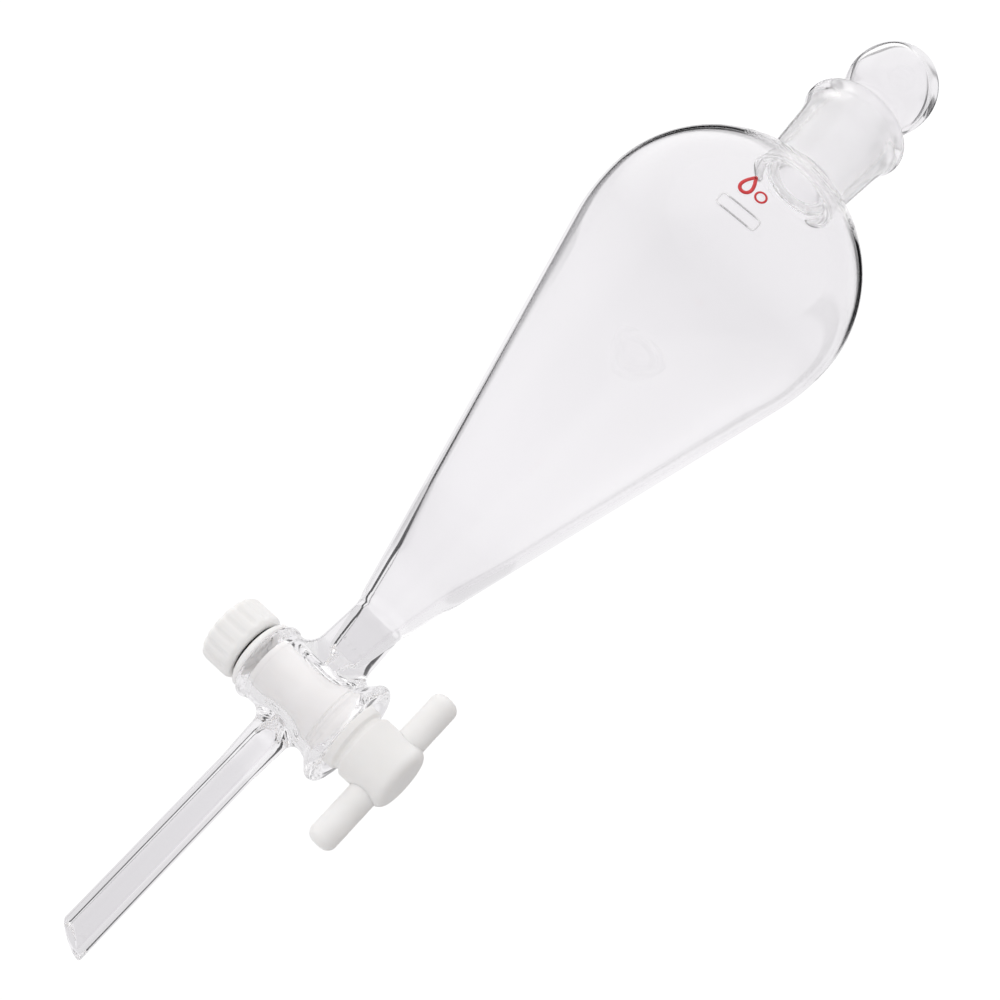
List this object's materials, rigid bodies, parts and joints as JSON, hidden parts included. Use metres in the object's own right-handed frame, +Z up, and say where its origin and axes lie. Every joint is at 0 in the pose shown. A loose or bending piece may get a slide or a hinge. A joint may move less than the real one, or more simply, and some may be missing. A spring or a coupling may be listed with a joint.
{
  "type": "separatory funnel",
  "caption": "Pear-shaped glass separatory funnel with a ground neck, a hollow ball stopper, a PTFE stopcock with a cross handle and a stem with a slanted tip.",
  "frame": {"origin": "centre of the circle where a 70 mm support ring touches the cone's outside, on the funnel's axis", "axes": "+Z up along the funnel's axis towards the stopper, +X along the stopcock towards its head and handle"},
  "size_m": [0.082, 0.082, 0.3389],
  "materials": {
    "glass": "clear, fire-polished, ground in the neck and on the stopper's cone",
    "ptfe": "turned white PTFE, waxy",
    "black_rubber": "matte black"
  },
  "bodies": {
    "glass": {"glass_body": "glass"},
    "stopper": {"stopper": "glass"},
    "plug": {"stopcock_plug": "ptfe", "handle_bar": "ptfe"},
    "seal_stack": {"ptfe_washer": "ptfe", "o_ring": "black_rubber"},
    "nut": {"tension_nut": "ptfe"}
  },
  "joints": [
    {"name": "stopper_lift", "type": "slide", "parent": "glass", "child": "stopper", "axis": [0, 0, 1], "range_m": [0, 0.06]},
    {"name": "plug_turn", "type": "hinge", "parent": "glass", "child": "plug", "pos_m": [0, 0, -0.13057], "axis": [1, 0, 0], "continuous": true},
    {"name": "seal_slide", "type": "slide", "parent": "plug", "child": "seal_stack", "axis": [-1, 0, 0], "range_m": [0, 0.0075]},
    {"name": "nut_turn", "type": "hinge", "parent": "seal_stack", "child": "nut", "pos_m": [-0.02265, 0, -0.13057], "axis": [-1, 0, 0], "range_deg": [0, 1800]}
  ],
  "couplings": [
    {"joint": "seal_slide", "follows": "nut_turn", "m_per_rad": 0.00023873}
  ]
}
